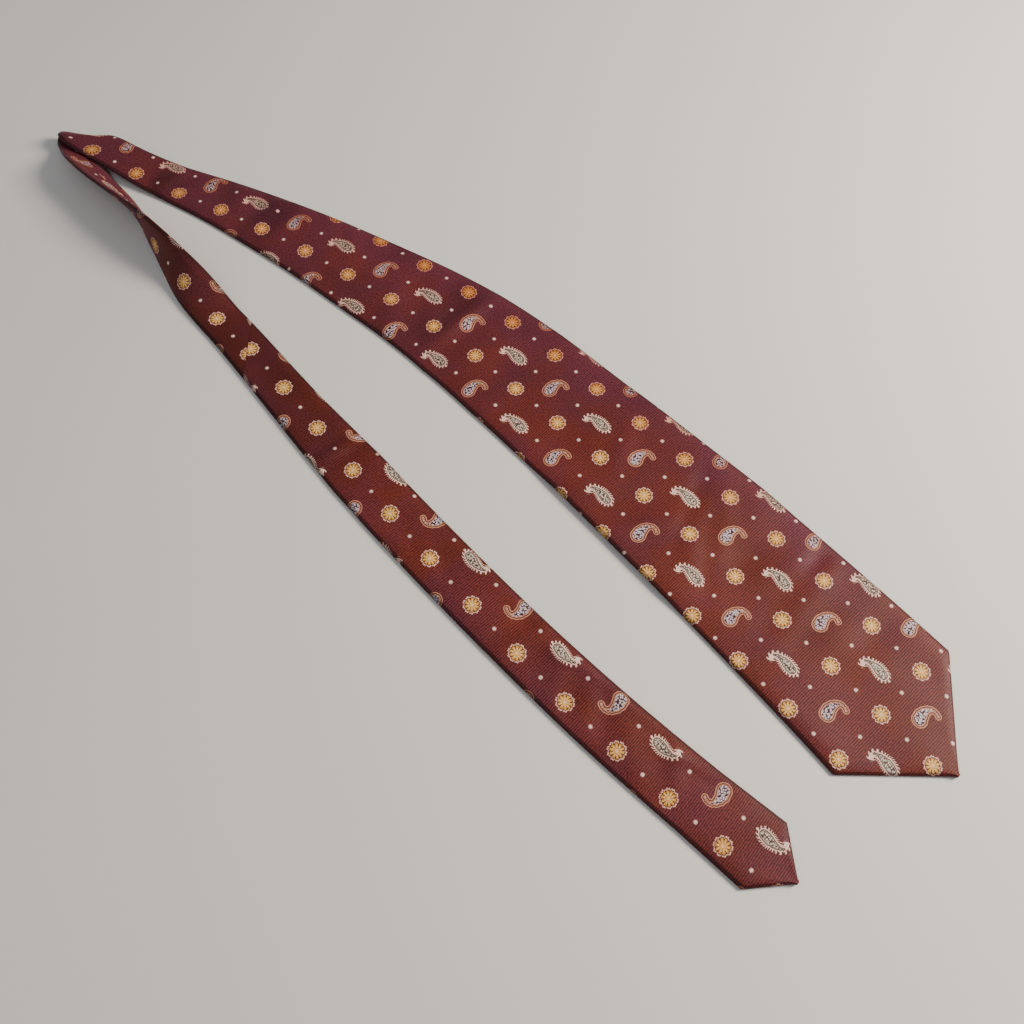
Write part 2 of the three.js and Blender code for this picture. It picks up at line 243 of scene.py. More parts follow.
class LaidTie:
    """Takes places in the flat tie to places in the laid one."""

    def __init__(self, sizes):
        self.blade_width = sizes.blade_width / MM
        self.tail_width = sizes.tail_width / MM
        self.neck_width = sizes.neck_width / MM
        self.cloth = sizes.cloth / MM
        self.interlining = sizes.interlining / MM
        self.edge_drop = sizes.edge_drop / MM
        self.edge_roll = sizes.edge_roll / MM
        self.lap = sizes.lap / MM
        self.repeat = sizes.pattern_repeat / MM
        self.thick = 2 * self.cloth + self.interlining + 2 * GAP
        stations = np.array(ROUTE, float)
        steps = np.linalg.norm(np.diff(stations[:, :3], axis=0), axis=1)
        drawn = np.concatenate([[0], np.cumsum(steps)])
        self.sides = self.side_vectors(stations)
        width = np.array([self.width_near(d, drawn[-1] - d) for d in drawn])
        middle = stations[:, :3].copy()
        middle[:, 2] += self.resting_height(self.sides, width)
        self.middle = middle
        self.t_grid = np.linspace(0, 1, 40 * (len(stations) - 1) + 1)
        sampled = curve_points(self.middle, self.t_grid)
        self.lengths = np.concatenate([[0], np.cumsum(np.linalg.norm(np.diff(sampled, axis=0), axis=1))])
        self.whole = self.lengths[-1]
        self.pivot = self.lengths[40 * PIVOT_INDEX]
        self.fold = self.lengths[40 * FOLD_INDEX]
        self.seam = self.whole - TAIL_PIECE
        self.puckers = PUCKERS + small_puckers()

    @staticmethod
    def side_vectors(stations):
        """The direction from the middle to the near edge at each station."""
        direction, turned = np.radians(stations[:, 3]), np.radians(stations[:, 4])
        return np.stack(
            [np.cos(turned) * np.cos(direction), np.cos(turned) * np.sin(direction), np.sin(turned)], axis=1
        )

    def resting_height(self, side, width):
        """How high the middle line lies when the lowest edge is on the table."""
        return (np.abs(side[:, 2]) * width + np.hypot(side[:, 0], side[:, 1]) * self.thick) / 2

    def end_width(self, distance, taper, full, depth):
        """Width at a distance from one end's point."""
        if distance < depth:
            return max(BLUNT, full * distance / depth)
        share = np.interp(distance, [at for at, _ in taper], [part for _, part in taper])
        return self.neck_width + (full - self.neck_width) * share

    def width_near(self, front, tail):
        """Width at these distances from the front's point and the tail's."""
        if front < tail:
            return self.end_width(front, FRONT_TAPER, self.blade_width, FRONT_TIP_DEPTH)
        return self.end_width(tail, TAIL_TAPER, self.tail_width, TAIL_TIP_DEPTH)

    def width(self, s):
        """Width of the folded tie."""
        return self.width_near(s, self.whole - s)

    def opening(self, s):
        """Half the opening between the wings on the back."""
        shut = BACK_GAP / 2
        tail_side = s > self.whole - s
        distance = self.whole - s if tail_side else s
        full = self.tail_width if tail_side else self.blade_width
        depth = TAIL_TIP_DEPTH if tail_side else FRONT_TIP_DEPTH
        tack = TAIL_TACK if tail_side else FRONT_TACK
        if distance >= tack:
            return shut
        if distance <= depth:
            return max(shut, full * distance / depth / 2 - HEM)
        return np.interp(distance, [depth, tack], [full / 2 - HEM, shut])

    def closing_place(self, half_opening, tail_side):
        """The distance from the point where the wings are this far from the middle."""
        full = self.tail_width if tail_side else self.blade_width
        depth = TAIL_TIP_DEPTH if tail_side else FRONT_TIP_DEPTH
        tack = TAIL_TACK if tail_side else FRONT_TACK
        return np.interp(-half_opening, [HEM - full / 2, -BACK_GAP / 2], [depth, tack])

    def slant(self, s):
        """How far a line across the tie leans, most at the diagonal seam."""
        return -SEAM_SLANT * max(0.0, 1 - abs(s - self.seam) / SEAM_FADE)

    def lay(self, s, t, n):
        """Places along s, across t and up n from the back face, all in millimetres, as points in metres."""
        at = np.interp(np.clip(s, 0, self.whole), self.lengths, self.t_grid)
        ahead = curve_points(self.middle, np.minimum(at + 1e-4, 1))
        behind = curve_points(self.middle, np.maximum(at - 1e-4, 0))
        along = ahead - behind
        along /= np.linalg.norm(along, axis=1)[:, None]
        side = curve_points(self.sides, at)
        side /= np.linalg.norm(side, axis=1)[:, None]
        up = np.cross(along, side)
        up /= np.linalg.norm(up, axis=1)[:, None]
        place = curve_points(self.middle, at)
        width = np.array([self.width(d) for d in s])
        place[:, 2] = np.maximum(place[:, 2], self.resting_height(side, width))
        beyond = (s - np.clip(s, 0, self.whole))[:, None]
        place += along * beyond + side * t[:, None] + up * (n - self.thick / 2)[:, None]
        return (place - np.array(ORIGIN)) * MM

    def drop(self, t, half):
        """How far the front face rolls down towards a folded edge."""
        roll = min(self.edge_roll, 0.45 * half)
        near = np.clip(1 - (half - np.abs(t)) / roll, 0, 1)
        return self.edge_drop * min(1, half / 10) * near**2

    def relief(self, s, t, half):
        """Soft waves and puckers in the front face, as a height."""
        fade = np.clip((half - np.abs(t)) / 5, 0, 1)
        wave = 0.3 * np.sin(s / 19.3 + t / 11.0) * np.sin(s / 47.0 - t / 29.0 + 1.3)
        wave += 0.2 * np.sin(s / 12.1 - t / 6.2 + 0.7) * np.sin(s / 29.0 + t / 13.0)
        for at, middle, along, over, lean, height in self.puckers:
            place = at if at < FROM_TAIL else self.whole - (at - FROM_TAIL)
            x = (s - place - lean * (t - middle)) / along
            y = (t - middle) / over
            wave = wave + height * (1 - 2 * x**2) * np.exp(-(x**2) - y**2)
        return wave * fade

    def painted_sheen_and_tone(self, s, t, half):
        """Painted plum sheen along the tie and at its far rim, and painted shade at the puckers and round the
        neck.
        """
        # Painted plum sheen along the tie, and more of it towards the far rim.
        plum = np.interp(s, *zip(*PLUM_SHEEN_ALONG))
        rim = np.clip(-t / half - 0.25, 0, 0.6) * np.interp(s, *zip(*PLUM_SHEEN_RIM))
        # Painted shade at the puckers and round the neck.
        dark = np.zeros_like(plum)
        for at, middle, along, over, lean, amount in SHADES:
            x = (s - at - lean * (t - middle)) / along
            y = (t - middle) / over
            dark = dark + amount * np.exp(-(x**2) - y**2)
        return plum + rim, dark


# Puckers: place along the tie, place across, reach along, reach across, lean, height
PUCKERS = [
    (386, -6, 8, 26, 0.1, 1.4),
    (541, -4, 8, 20, 0.1, 1.4),
    (613, 2, 8, 16, 0.15, 1.2),
    (128, -34, 8, 9, 0.0, -0.9),
    (1339, 0, 6, 13, 0.1, 1.2),
    (1162, 9, 20, 4, 1.6, 0.9),
    (1083, 10, 18, 4, 1.6, 0.8),
    (1250, -5, 14, 5, -1.0, 0.6),
]
# Painted plum sheen at places along the tie, over its whole width and at its far rim
PLUM_SHEEN_ALONG = [
    (0, 0.0),
    (200, 0.05),
    (380, 0.4),
    (640, 0.7),
    (760, 0.6),
    (860, 0.1),
    (1000, 0.0),
    (1349, 0.25),
]
PLUM_SHEEN_RIM = [(60, 0.2), (200, 1.2), (460, 1.2), (600, 0.2)]
# Painted shade where puckers and the neck lie in shade: place along the tie, place across, reach along, reach
# across, lean, amount
SHADES = [
    (398, -8, 12, 26, 0.1, 0.42),
    (536, -4, 9, 20, 0.1, 0.5),
    (613, 2, 9, 15, 0.15, 0.45),
    (470, 14, 16, 10, 0.4, 0.22),
    (330, 6, 14, 26, 0.5, 0.18),
    (925, 0, 80, 30, 0.0, 0.4),
]


def small_puckers():
    """Faint dents from handling, the same ones every time."""
    dice = np.random.default_rng(7)
    found = []
    for count, first, last, reach in ((34, 60, 640, 30), (20, 1050, 1420, 9)):
        for _ in range(count):
            place, middle = dice.uniform(first, last), dice.uniform(-reach, reach)
            along, over = dice.uniform(7, 13), dice.uniform(10, 26)
            lean, height = dice.uniform(-0.9, 1.3), dice.uniform(0.25, 0.6) * dice.choice((-1, 1))
            found.append((place, middle, along, over, lean, height))
    return found


def ring_places(start, end, step):
    """Places from start to end, no further apart than step."""
    count = max(2, int(math.ceil((end - start) / step)) + 1)
    return np.linspace(start, end, count)


def loft_mesh(name, points, uv, marks=None):
    """A closed tube through rings of points, with cloth coordinates and marks for each corner."""
    rings, count = points.shape[:2]
    index = np.arange(rings * count).reshape(rings, count)
    a = index[:-1]
    b = np.roll(a, -1, axis=1)
    c = np.roll(index[1:], -1, axis=1)
    d = index[1:]
    faces = np.stack([a, b, c, d], axis=-1).reshape(-1, 4).tolist()
    faces.append(index[0][::-1].tolist())
    faces.append(index[-1].tolist())
    mesh = bpy.data.meshes.new(name)
    mesh.from_pydata(points.reshape(-1, 3).tolist(), [], faces)
    layer = mesh.uv_layers.new(name="cloth")
    corner = np.empty(len(mesh.loops), int)
    mesh.loops.foreach_get("vertex_index", corner)
    layer.data.foreach_set("uv", uv.reshape(-1, 2)[corner].ravel())
    for attribute_name, values in (marks or {}).items():
        mark = mesh.attributes.new(attribute_name, "FLOAT", "POINT")
        mark.data.foreach_set("value", np.asarray(values, float).ravel())
    mesh.shade_smooth()
    mesh.set_sharp_from_angle(angle=math.radians(50))
    bm_volume_outward(mesh)
    obj = bpy.data.objects.new(name, mesh)
    bpy.context.scene.collection.objects.link(obj)
    return obj


def bm_volume_outward(mesh):
    """Turns every face outward if the closed mesh is inside out."""
    bm = bmesh.new()
    bm.from_mesh(mesh)
    if bm.calc_volume(signed=True) < 0:
        bmesh.ops.reverse_faces(bm, faces=bm.faces)
    bm.to_mesh(mesh)
    bm.free()


def shell_profile(tie, s):
    """The shell's section at one place: rows of t, n, the distance u across the flat cloth and the painted
    edge shade.
    """
    half = tie.width(s) / 2
    thin = min(1.0, half / 4)
    thick = tie.thick
    open_half = min(tie.opening(s), half - 2 * tie.cloth)
    edge = thick - tie.edge_drop * min(1, half / 10)
    round_t = min(2.0, half * 0.45)
    shut_share = np.clip(1 - (tie.opening(s) - BACK_GAP / 2) / 5, 0, 1) * (1 if half > 8 else 0)
    angle = np.radians(np.linspace(-90, 90, 9))[1:-1]
    spread = np.sin(np.linspace(0, 1, 12) * math.pi / 2)
    top_t = (half - round_t) * spread
    sides = []
    for sign in (1, -1):
        reach = open_half - (BACK_GAP / 2 + tie.lap) * shut_share if sign > 0 else open_half
        wing_t = np.linspace(reach, half - round_t, 9)
        wing_n = np.zeros(9)
        if sign < 0:
            wing_n = 0.66 * shut_share * np.clip(1 - (wing_t - reach) / 4, 0, 1) ** 0.6
        arc_t = half - round_t + round_t * np.cos(angle)
        arc_n = edge / 2 + edge / 2 * np.sin(angle)
        top_n = thick - tie.drop(top_t, half) + tie.relief(np.full_like(top_t, s), sign * top_t, half)
        t = np.concatenate([wing_t, arc_t, top_t[::-1]])
        n = np.concatenate([wing_n, arc_n, top_n[::-1]])
        sides.append((t, n))
    # How much painted shade each corner gets: most round the folded edges.
    wing_edge = np.clip(np.arange(9) - 7, 0, 1) * 0.6
    top_edge = np.clip(1 - np.arange(12), 0, 1) * 0.7
    edge_row = np.concatenate([wing_edge, np.ones(7), top_edge])
    near_t, near_n = sides[0]
    far_t, far_n = sides[1]
    t = np.concatenate([near_t, -far_t[::-1][1:]])
    n = np.concatenate([near_n, far_n[::-1][1:]])
    step = np.hypot(np.diff(t), np.diff(n))
    u = np.concatenate([[0], np.cumsum(step)])
    u = u[len(near_t) - 1] - u
    tangent = np.stack([np.gradient(t), np.gradient(n)], axis=1)
    tangent /= np.maximum(np.linalg.norm(tangent, axis=1), 1e-6)[:, None]
    depth = tie.cloth * thin
    inner_t = t - tangent[:, 1] * depth
    inner_n = n + tangent[:, 0] * depth
    painted_edge_shade = np.concatenate([edge_row, edge_row[::-1][1:]])
    rows = ((t, inner_t), (n, inner_n), (u, u), (painted_edge_shade, painted_edge_shade))
    return [np.concatenate([outer, inner[::-1]]) for outer, inner in rows]


# How the woven repeats fall on each length of silk: places along the tie and the repeats counted there, and
# how far the line of rosettes is from the middle at places along the tie. The bias stretches a little.
REPEATS = {
    "front": (
        ((12.9, 0), (536, 15), (666, 19), (690, 19.8), (700, 20.7), (802, 23.7)),
        ((13, 7.3), (330, 10.4), (530, 7.8), (666, 7.3)),
    ),
    "neck": (((462, 0), (530, 2)), ((462, -1.8), (530, -1.8))),
    "tail": (((38.3, 0), (106, 2), (394.5, 10)), ((38, -10.7), (142, -8.1), (394, 1.3))),
}


def beyond_knots(place, knots):
    """Interpolates between knots, and goes on in the same line beyond them."""
    at, value = np.array(knots, float).T
    inner = np.interp(place, at, value)
    first = (value[1] - value[0]) / (at[1] - at[0])
    last = (value[-1] - value[-2]) / (at[-1] - at[-2])
    return inner + np.minimum(place - at[0], 0) * first + np.maximum(place - at[-1], 0) * last


def pattern_uv(tie, kind, s, u):
    """Cloth coordinates in pattern repeats. The cloth lies on the bias, at 45 degrees to the tie."""
    along_knots, across_knots = REPEATS[kind]
    place = s if kind == "front" else tie.whole - s
    along = beyond_knots(place, along_knots)
    middle = np.interp(place, *np.array(across_knots, float).T)
    across = (u - middle) / (tie.repeat * math.sqrt(2))
    if kind == "front":
        return np.stack([-along - across, along - across], axis=-1)
    return np.stack([along - across, -along - across], axis=-1)


def shell(tie, name, start, end, kind, step, point_start=False, point_end=False):
    """A shell of silk from start to end. A pointed end is closed with a rounded nose."""
    places = list(ring_places(start, end, step))
    rings, coords, edges, plums, darks, area = [], [], [], [], [], 0.0
    profiles = []
    for s in places:
        t, n, u, edge = shell_profile(tie, s)
        profiles.append((s + tie.slant(s) * t, t, n, u, edge))
        outer = len(u) // 2
        area += (u[0] - u[outer - 1]) * (places[1] - places[0])
    for at_end, wanted in ((0, point_start), (-1, point_end)):
        if not wanted:
            continue
        s, t, n, u, edge = profiles[at_end]
        away = -1 if at_end == 0 else 1
        middle_n = tie.thick / 2
        for shift, share in ((0.5, 0.94), (0.9, 0.78), (1.15, 0.5)):
            nose = (s + away * shift, t * share, middle_n + (n - middle_n) * share, u, edge)
            profiles = [nose, *profiles] if at_end == 0 else [*profiles, nose]
    for s, t, n, u, edge in profiles:
        rings.append(tie.lay(s, t, n))
        coords.append(pattern_uv(tie, kind, s, u))
        edges.append(edge)
        plum, dark = tie.painted_sheen_and_tone(s, t, max(np.abs(t).max(), 1.0))
        plums.append(plum)
        darks.append(dark)
    # The marks carry the painted plum sheen, the painted crease shade and the painted shade of the folded
    # edges.
    marks = {"folded_edge_shade": edges, "painted_plum_sheen": plums, "crease_shade": darks}
    obj = loft_mesh(name, np.array(rings), np.array(coords), marks)
    return obj, area * MM * MM


def strip(tie, name, start, end, step, section, slanted=True):
    """A strip laid along the tie; section(s) gives its corners as t and n."""
    rings, coords = [], []
    for s in ring_places(start, end, step):
        t, n = section(s)
        along = s + (tie.slant(s) if slanted else 0) * t
        rings.append(tie.lay(along, t, n))
        coords.append(np.stack([along, t], axis=-1) * MM)
    return loft_mesh(name, np.array(rings), np.array(coords))


def ribbon(half, low, high, corners=14, rounding=0.35):
    """A flat ribbon's section with rounded edges, from near edge to far edge and back."""
    across = np.sin(np.linspace(-1, 1, corners) * math.pi / 2) * half
    bulge = np.clip((half - np.abs(across)) / rounding, 0, 1) ** 0.5
    centre, rise = (low + high) / 2, (high - low) / 2
    t = np.concatenate([across[::-1], across[1:-1]])
    swell = rise * np.maximum(bulge, 0.15)
    n = np.concatenate([centre + swell[::-1], (centre - swell)[1:-1]])
    return t, n


def tube(middle_t, middle_n, radius, corners=8):
    """A round section for a thread."""
    angle = np.linspace(0, 2 * math.pi, corners, endpoint=False)
    return middle_t + radius * np.cos(angle), middle_n + radius * np.sin(angle)


def give(obj, material, node_names, body):
    """Gives a piece its material, hides the CAD nodes it stands for and hangs it on its body, or bakes it in
    place for the bend.
    """
    obj.data.materials.append(material)
    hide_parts(*node_names)
    if body == "bend":
        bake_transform(obj)
    else:
        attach(obj, body)


def add(tree, kind, inputs=None, out=0, stops=(), **settings):
    """Adds a node, sets it up, links or fills its inputs, and returns one of its outputs."""
    node = tree.nodes.new(kind)
    for count, (stop_at, colour) in enumerate(stops):
        elements = node.color_ramp.elements
        element = elements[count] if count < 2 else elements.new(stop_at)
        element.position, element.color = stop_at, colour
    for name, value in settings.items():
        setattr(node, name, value)
    for key, value in (inputs or {}).items():
        if isinstance(value, bpy.types.NodeSocket):
            tree.links.new(value, node.inputs[key])
        else:
            node.inputs[key].default_value = value
    return node.outputs[out] if node.outputs else node


def new_material(name):
    """An empty material with its own output, and the tree to fill."""
    material = bpy.data.materials.new(name)
    material.use_nodes = True
    material.node_tree.nodes.clear()
    return material, material.node_tree


def wave_scale(pitch, radians=20):
    """The scale that gives a wave texture this pitch in millimetres, on cloth coordinates in metres. Straight
    bands turn 20 radians for each unit of scale, and diagonal ones 10."""
    return 2 * math.pi / (radians * pitch * MM)


def outline_distance(tree, place, circles, blend):
    """Distance in millimetres to a soft outline round a chain of circles, each x, y and radius."""
    found = None
    for x, y, radius in circles:
        away = add(tree, "ShaderNodeVectorMath", {0: place, 1: (x, y, 0)}, out=1, operation="DISTANCE")
        edge = add(tree, "ShaderNodeMath", {0: away, 1: radius}, operation="SUBTRACT")
        if found is None:
            found = edge
        else:
            found = add(tree, "ShaderNodeMath", {0: found, 1: edge, 2: blend}, operation="SMOOTH_MIN")
    return found


SMOOTH_PAISLEY = [
    (-4.4, -1.5, 4.5),
    (-3.3, 0.6, 4.2),
    (-1.5, 2.5, 3.5),
    (0.7, 3.8, 2.7),
    (2.8, 4.2, 2.1),
    (4.5, 3.6, 1.8),
    (5.7, 2.3, 1.75),
    (6.3, 0.8, 1.8),
]
TOOTHED_PAISLEY = [
    (3.3, -3.7, 3.0),
    (2.1, -2.2, 3.3),
    (0.9, -0.5, 3.2),
    (-0.7, 1.3, 2.6),
    (-2.3, 2.8, 2.0),
    (-4.0, 4.0, 1.5),
    (-5.7, 4.4, 1.2),
    (-7.0, 3.7, 1.1),
    (-7.6, 2.5, 1.2),
]


def silk_jacquard_twill(sizes, colours):
    """Jacquard silk twill, woven with extra yarns for the motifs: a dark satiny ground with fine raised lines
    across the blade, and ivory, gold and peach figures that stand a little proud and catch more light."""
    material, tree = new_material("silk_jacquard_twill")
    repeat = sizes.pattern_repeat / MM

    def shown(colour, cover=1.0):
        return (*colour[:3], cover)

    uv = add(tree, "ShaderNodeUVMap", uv_map="cloth")
    split = add(tree, "ShaderNodeSeparateXYZ", {0: uv}).node
    a, b = split.outputs[0], split.outputs[1]
    column = add(tree, "ShaderNodeMath", {0: a}, operation="ROUND")
    row = add(tree, "ShaderNodeMath", {0: b}, operation="ROUND")
    part_x = add(tree, "ShaderNodeMath", {0: a, 1: column}, operation="SUBTRACT")
    part_y = add(tree, "ShaderNodeMath", {0: b, 1: row}, operation="SUBTRACT")
    x = add(tree, "ShaderNodeMath", {0: part_x, 1: repeat}, operation="MULTIPLY")
    y = add(tree, "ShaderNodeMath", {0: part_y, 1: repeat}, operation="MULTIPLY")
    total = add(tree, "ShaderNodeMath", {0: column, 1: row}, operation="ADD")
    is_paisley = add(tree, "ShaderNodeMath", {0: total, 1: 2.0}, operation="FLOORED_MODULO")
    odd_row = add(tree, "ShaderNodeMath", {0: row, 1: 2.0}, operation="FLOORED_MODULO")
    is_smooth = add(tree, "ShaderNodeMath", {0: is_paisley, 1: odd_row}, operation="MULTIPLY")
    is_toothed = add(tree, "ShaderNodeMath", {0: is_paisley, 1: is_smooth}, operation="SUBTRACT")
    is_rosette = add(tree, "ShaderNodeMath", {0: 1.0, 1: is_paisley}, operation="SUBTRACT")
    cloth_mm = add(tree, "ShaderNodeVectorMath", {0: uv, "Scale": repeat}, operation="SCALE")
    # Yarns 0.4 mm wide step the edges of every figure.
    jitter = add(tree, "ShaderNodeTexNoise", {"Vector": cloth_mm, "Scale": 2.4, "Detail": 1.0}, out=1)
    jitter_mid = add(tree, "ShaderNodeVectorMath", {0: jitter, 1: (0.5, 0.5, 0.5)}, operation="SUBTRACT")
    jitter_mm = add(tree, "ShaderNodeVectorMath", {0: jitter_mid, "Scale": 0.5}, operation="SCALE")
    local = add(tree, "ShaderNodeCombineXYZ", {0: x, 1: y})
    place = add(tree, "ShaderNodeVectorMath", {0: local, 1: jitter_mm}, operation="ADD")
    flat_place = add(tree, "ShaderNodeVectorMath", {0: place, 1: (1, 1, 0)}, operation="MULTIPLY")
    flat = add(tree, "ShaderNodeSeparateXYZ", {0: flat_place}).node

    # Grains of yarn inside the figures, 1.2 mm across: wider than real yarns, to show
    grains = add(tree, "ShaderNodeTexVoronoi", {"Vector": cloth_mm, "Scale": 0.85}, voronoi_dimensions="2D")
    grain_gap = add(tree, "ShaderNodeMapRange", {0: grains, 1: 0.56, 2: 0.38, 3: 0.0, 4: 1.0})
    grain_core = add(tree, "ShaderNodeMapRange", {0: grains, 1: 0.34, 2: 0.16, 3: 0.0, 4: 1.0})

    # Rosette: ivory scalloped rim, gold petals, dark specks between them, a pale centre
    radius = add(tree, "ShaderNodeVectorMath", {0: flat_place}, out=1, operation="LENGTH")
    angle = add(tree, "ShaderNodeMath", {0: flat.outputs[1], 1: flat.outputs[0]}, operation="ARCTAN2")
    turns = add(tree, "ShaderNodeMath", {0: angle, 1: 5.0}, operation="MULTIPLY")
    petal = add(tree, "ShaderNodeMath", {0: turns}, operation="SINE")
    petal_size = add(tree, "ShaderNodeMath", {0: petal}, operation="ABSOLUTE")
    teeth_turns = add(tree, "ShaderNodeMath", {0: angle, 1: 24.0}, operation="MULTIPLY")
    teeth = add(tree, "ShaderNodeMath", {0: teeth_turns}, operation="SINE")
    scallop = add(tree, "ShaderNodeMath", {0: petal_size, 1: -0.7, 2: radius}, operation="MULTIPLY_ADD")
    toothed_rim = add(tree, "ShaderNodeMath", {0: teeth, 1: -0.22, 2: scallop}, operation="MULTIPLY_ADD")
    rim_place = add(tree, "ShaderNodeMath", {0: toothed_rim, 1: 6.0}, operation="DIVIDE")
    rosette = add(
        tree,
        "ShaderNodeValToRGB",
        {0: rim_place},
        stops=[
            (0.0, shown(colours.ivory)),
            (0.07, shown(colours.gold)),
            (0.22, shown(colours.gold)),
            (0.29, shown(linear("#f0cf9c"))),
            (0.36, shown(colours.gold)),
            (0.52, shown(colours.gold)),
            (0.58, shown(colours.ground_dark, 0.95)),
            (0.63, shown(colours.ground_dark, 0.95)),
            (0.67, shown(colours.rim)),
            (0.74, shown(colours.rim)),
            (0.79, (*colours.rim[:3], 0.0)),
        ],
    ).node
    notch = add(tree, "ShaderNodeMapRange", {0: petal_size, 1: 0.12, 2: 0.42, 3: 0.35, 4: 1.0})
    is_rim = add(tree, "ShaderNodeMapRange", {0: rim_place, 1: 0.6, 2: 0.66, 3: 0.0, 4: 1.0})
    whole_or_notched = add(tree, "ShaderNodeMix", {0: is_rim, 2: 1.0, 3: notch}, data_type="FLOAT")
    rosette_cover = add(
        tree, "ShaderNodeMath", {0: rosette.outputs[1], 1: whole_or_notched}, operation="MULTIPLY"
    )
    between = add(tree, "ShaderNodeMapRange", {0: petal_size, 1: 0.62, 2: 0.34, 3: 0.0, 4: 1.0})
    inside = add(tree, "ShaderNodeMapRange", {0: rim_place, 1: 0.64, 2: 0.56, 3: 0.0, 4: 1.0})
    outside = add(tree, "ShaderNodeMapRange", {0: rim_place, 1: 0.22, 2: 0.34, 3: 0.0, 4: 1.0})
    ring = add(tree, "ShaderNodeMath", {0: inside, 1: outside}, operation="MULTIPLY")
    speck = add(tree, "ShaderNodeMath", {0: ring, 1: between}, operation="MULTIPLY")
    speck_soft = add(tree, "ShaderNodeMath", {0: speck, 1: 0.9}, operation="MULTIPLY")
    rosette_broken = add(
        tree,
        "ShaderNodeMix",
        {0: speck_soft, 6: rosette.outputs[0], 7: (*colours.ground_dark[:3], 1)},
        out=2,
        data_type="RGBA",
    )
    # Where the plum sheen is painted, the figures are painted a little coppery and less bright too.
    turned = add(tree, "ShaderNodeAttribute", out=2, attribute_name="painted_plum_sheen")
    painted_sheen_copper = add(tree, "ShaderNodeMapRange", {0: turned, 1: 0.1, 2: 0.9, 3: 0.0, 4: 0.75})
    rosette_colour = add(
        tree,
        "ShaderNodeMix",
        {0: painted_sheen_copper, 6: rosette_broken, 7: linear("#d2936f")},
        out=2,
        data_type="RGBA",
        blend_type="MULTIPLY",
    )

    # Smooth paisley: two peach outlines, then a lilac flower broken by dark gaps
    smooth_edge = outline_distance(tree, flat_place, SMOOTH_PAISLEY, 0.6)
    smooth_place = add(tree, "ShaderNodeMapRange", {0: smooth_edge, 1: -5.0, 2: 1.0, 3: 0.0, 4: 1.0})
    smooth = add(
        tree,
        "ShaderNodeValToRGB",
        {0: smooth_place},
        stops=[
            (0.0, shown(colours.lilac)),
            (0.56, shown(colours.lilac)),
            (0.60, shown(colours.peach, 0.9)),
            (0.66, shown(colours.peach, 0.9)),
            (0.69, shown(colours.ground_dark, 0.7)),
            (0.74, shown(colours.ground_dark, 0.5)),
            (0.78, shown(colours.peach)),
            (0.84, shown(colours.peach)),
            (0.87, (*colours.peach[:3], 0.0)),
        ],
    ).node
    smooth_inside = add(tree, "ShaderNodeMapRange", {0: smooth_edge, 1: -1.35, 2: -1.7, 3: 0.0, 4: 1.0})
    smooth_gap = add(tree, "ShaderNodeMath", {0: 1.0, 1: grain_gap}, operation="SUBTRACT")
    smooth_dark = add(tree, "ShaderNodeMath", {0: smooth_inside, 1: smooth_gap}, operation="MULTIPLY")
    smooth_broken = add(
        tree,
        "ShaderNodeMix",
        {0: smooth_dark, 6: smooth.outputs[0], 7: (*colours.ground_dark[:3], 1)},
        out=2,
        data_type="RGBA",
    )
    smooth_core = add(tree, "ShaderNodeMath", {0: smooth_inside, 1: grain_core}, operation="MULTIPLY")
    smooth_colour = add(
        tree,
        "ShaderNodeMix",
        {0: smooth_core, 6: smooth_broken, 7: linear("#d6c8cb")},
        out=2,
        data_type="RGBA",
    )

    # Toothed paisley: ivory outline with raked teeth, sage filling with cream grains, a solid ivory knob
    toothed_edge = outline_distance(tree, flat_place, TOOTHED_PAISLEY, 0.6)
    off_x = add(tree, "ShaderNodeMath", {0: flat.outputs[0], 1: 0.2}, operation="SUBTRACT")
    off_y = add(tree, "ShaderNodeMath", {0: flat.outputs[1], 1: -0.6}, operation="SUBTRACT")
    comb_angle = add(tree, "ShaderNodeMath", {0: off_y, 1: off_x}, operation="ARCTAN2")
    comb_turns = add(tree, "ShaderNodeMath", {0: comb_angle, 1: 24.0}, operation="MULTIPLY")
    raked = add(tree, "ShaderNodeMath", {0: toothed_edge, 1: 1.9, 2: comb_turns}, operation="MULTIPLY_ADD")
    comb = add(tree, "ShaderNodeMath", {0: raked}, operation="SINE")
    tooth_gate = add(tree, "ShaderNodeMapRange", {0: comb, 1: 0.15, 2: 0.6, 3: 0.0, 4: 1.0})
    tooth_near = add(tree, "ShaderNodeMapRange", {0: toothed_edge, 1: 1.5, 2: 1.1, 3: 0.0, 4: 1.0})
    tooth_off = add(tree, "ShaderNodeMapRange", {0: toothed_edge, 1: -0.3, 2: 0.0, 3: 0.0, 4: 1.0})
    tooth_band = add(tree, "ShaderNodeMath", {0: tooth_near, 1: tooth_off}, operation="MULTIPLY")
    tooth = add(tree, "ShaderNodeMath", {0: tooth_band, 1: tooth_gate}, operation="MULTIPLY")
    toothed_place = add(tree, "ShaderNodeMapRange", {0: toothed_edge, 1: -4.0, 2: 1.0, 3: 0.0, 4: 1.0})
    toothed = add(
        tree,
        "ShaderNodeValToRGB",
        {0: toothed_place},
        stops=[
            (0.0, shown(linear("#cfc0a0"))),
            (0.35, shown(colours.sage)),
            (0.60, shown(colours.sage)),
            (0.65, shown(colours.ground_dark, 0.85)),
            (0.70, shown(colours.ground_dark, 0.85)),
            (0.735, shown(colours.ivory)),
            (0.80, shown(colours.ivory)),
            (0.84, (*colours.ivory[:3], 0.0)),
        ],
    ).node
    toothed_inside = add(tree, "ShaderNodeMapRange", {0: toothed_edge, 1: -1.0, 2: -1.4, 3: 0.0, 4: 1.0})
    toothed_core = add(tree, "ShaderNodeMath", {0: toothed_inside, 1: grain_core}, operation="MULTIPLY")
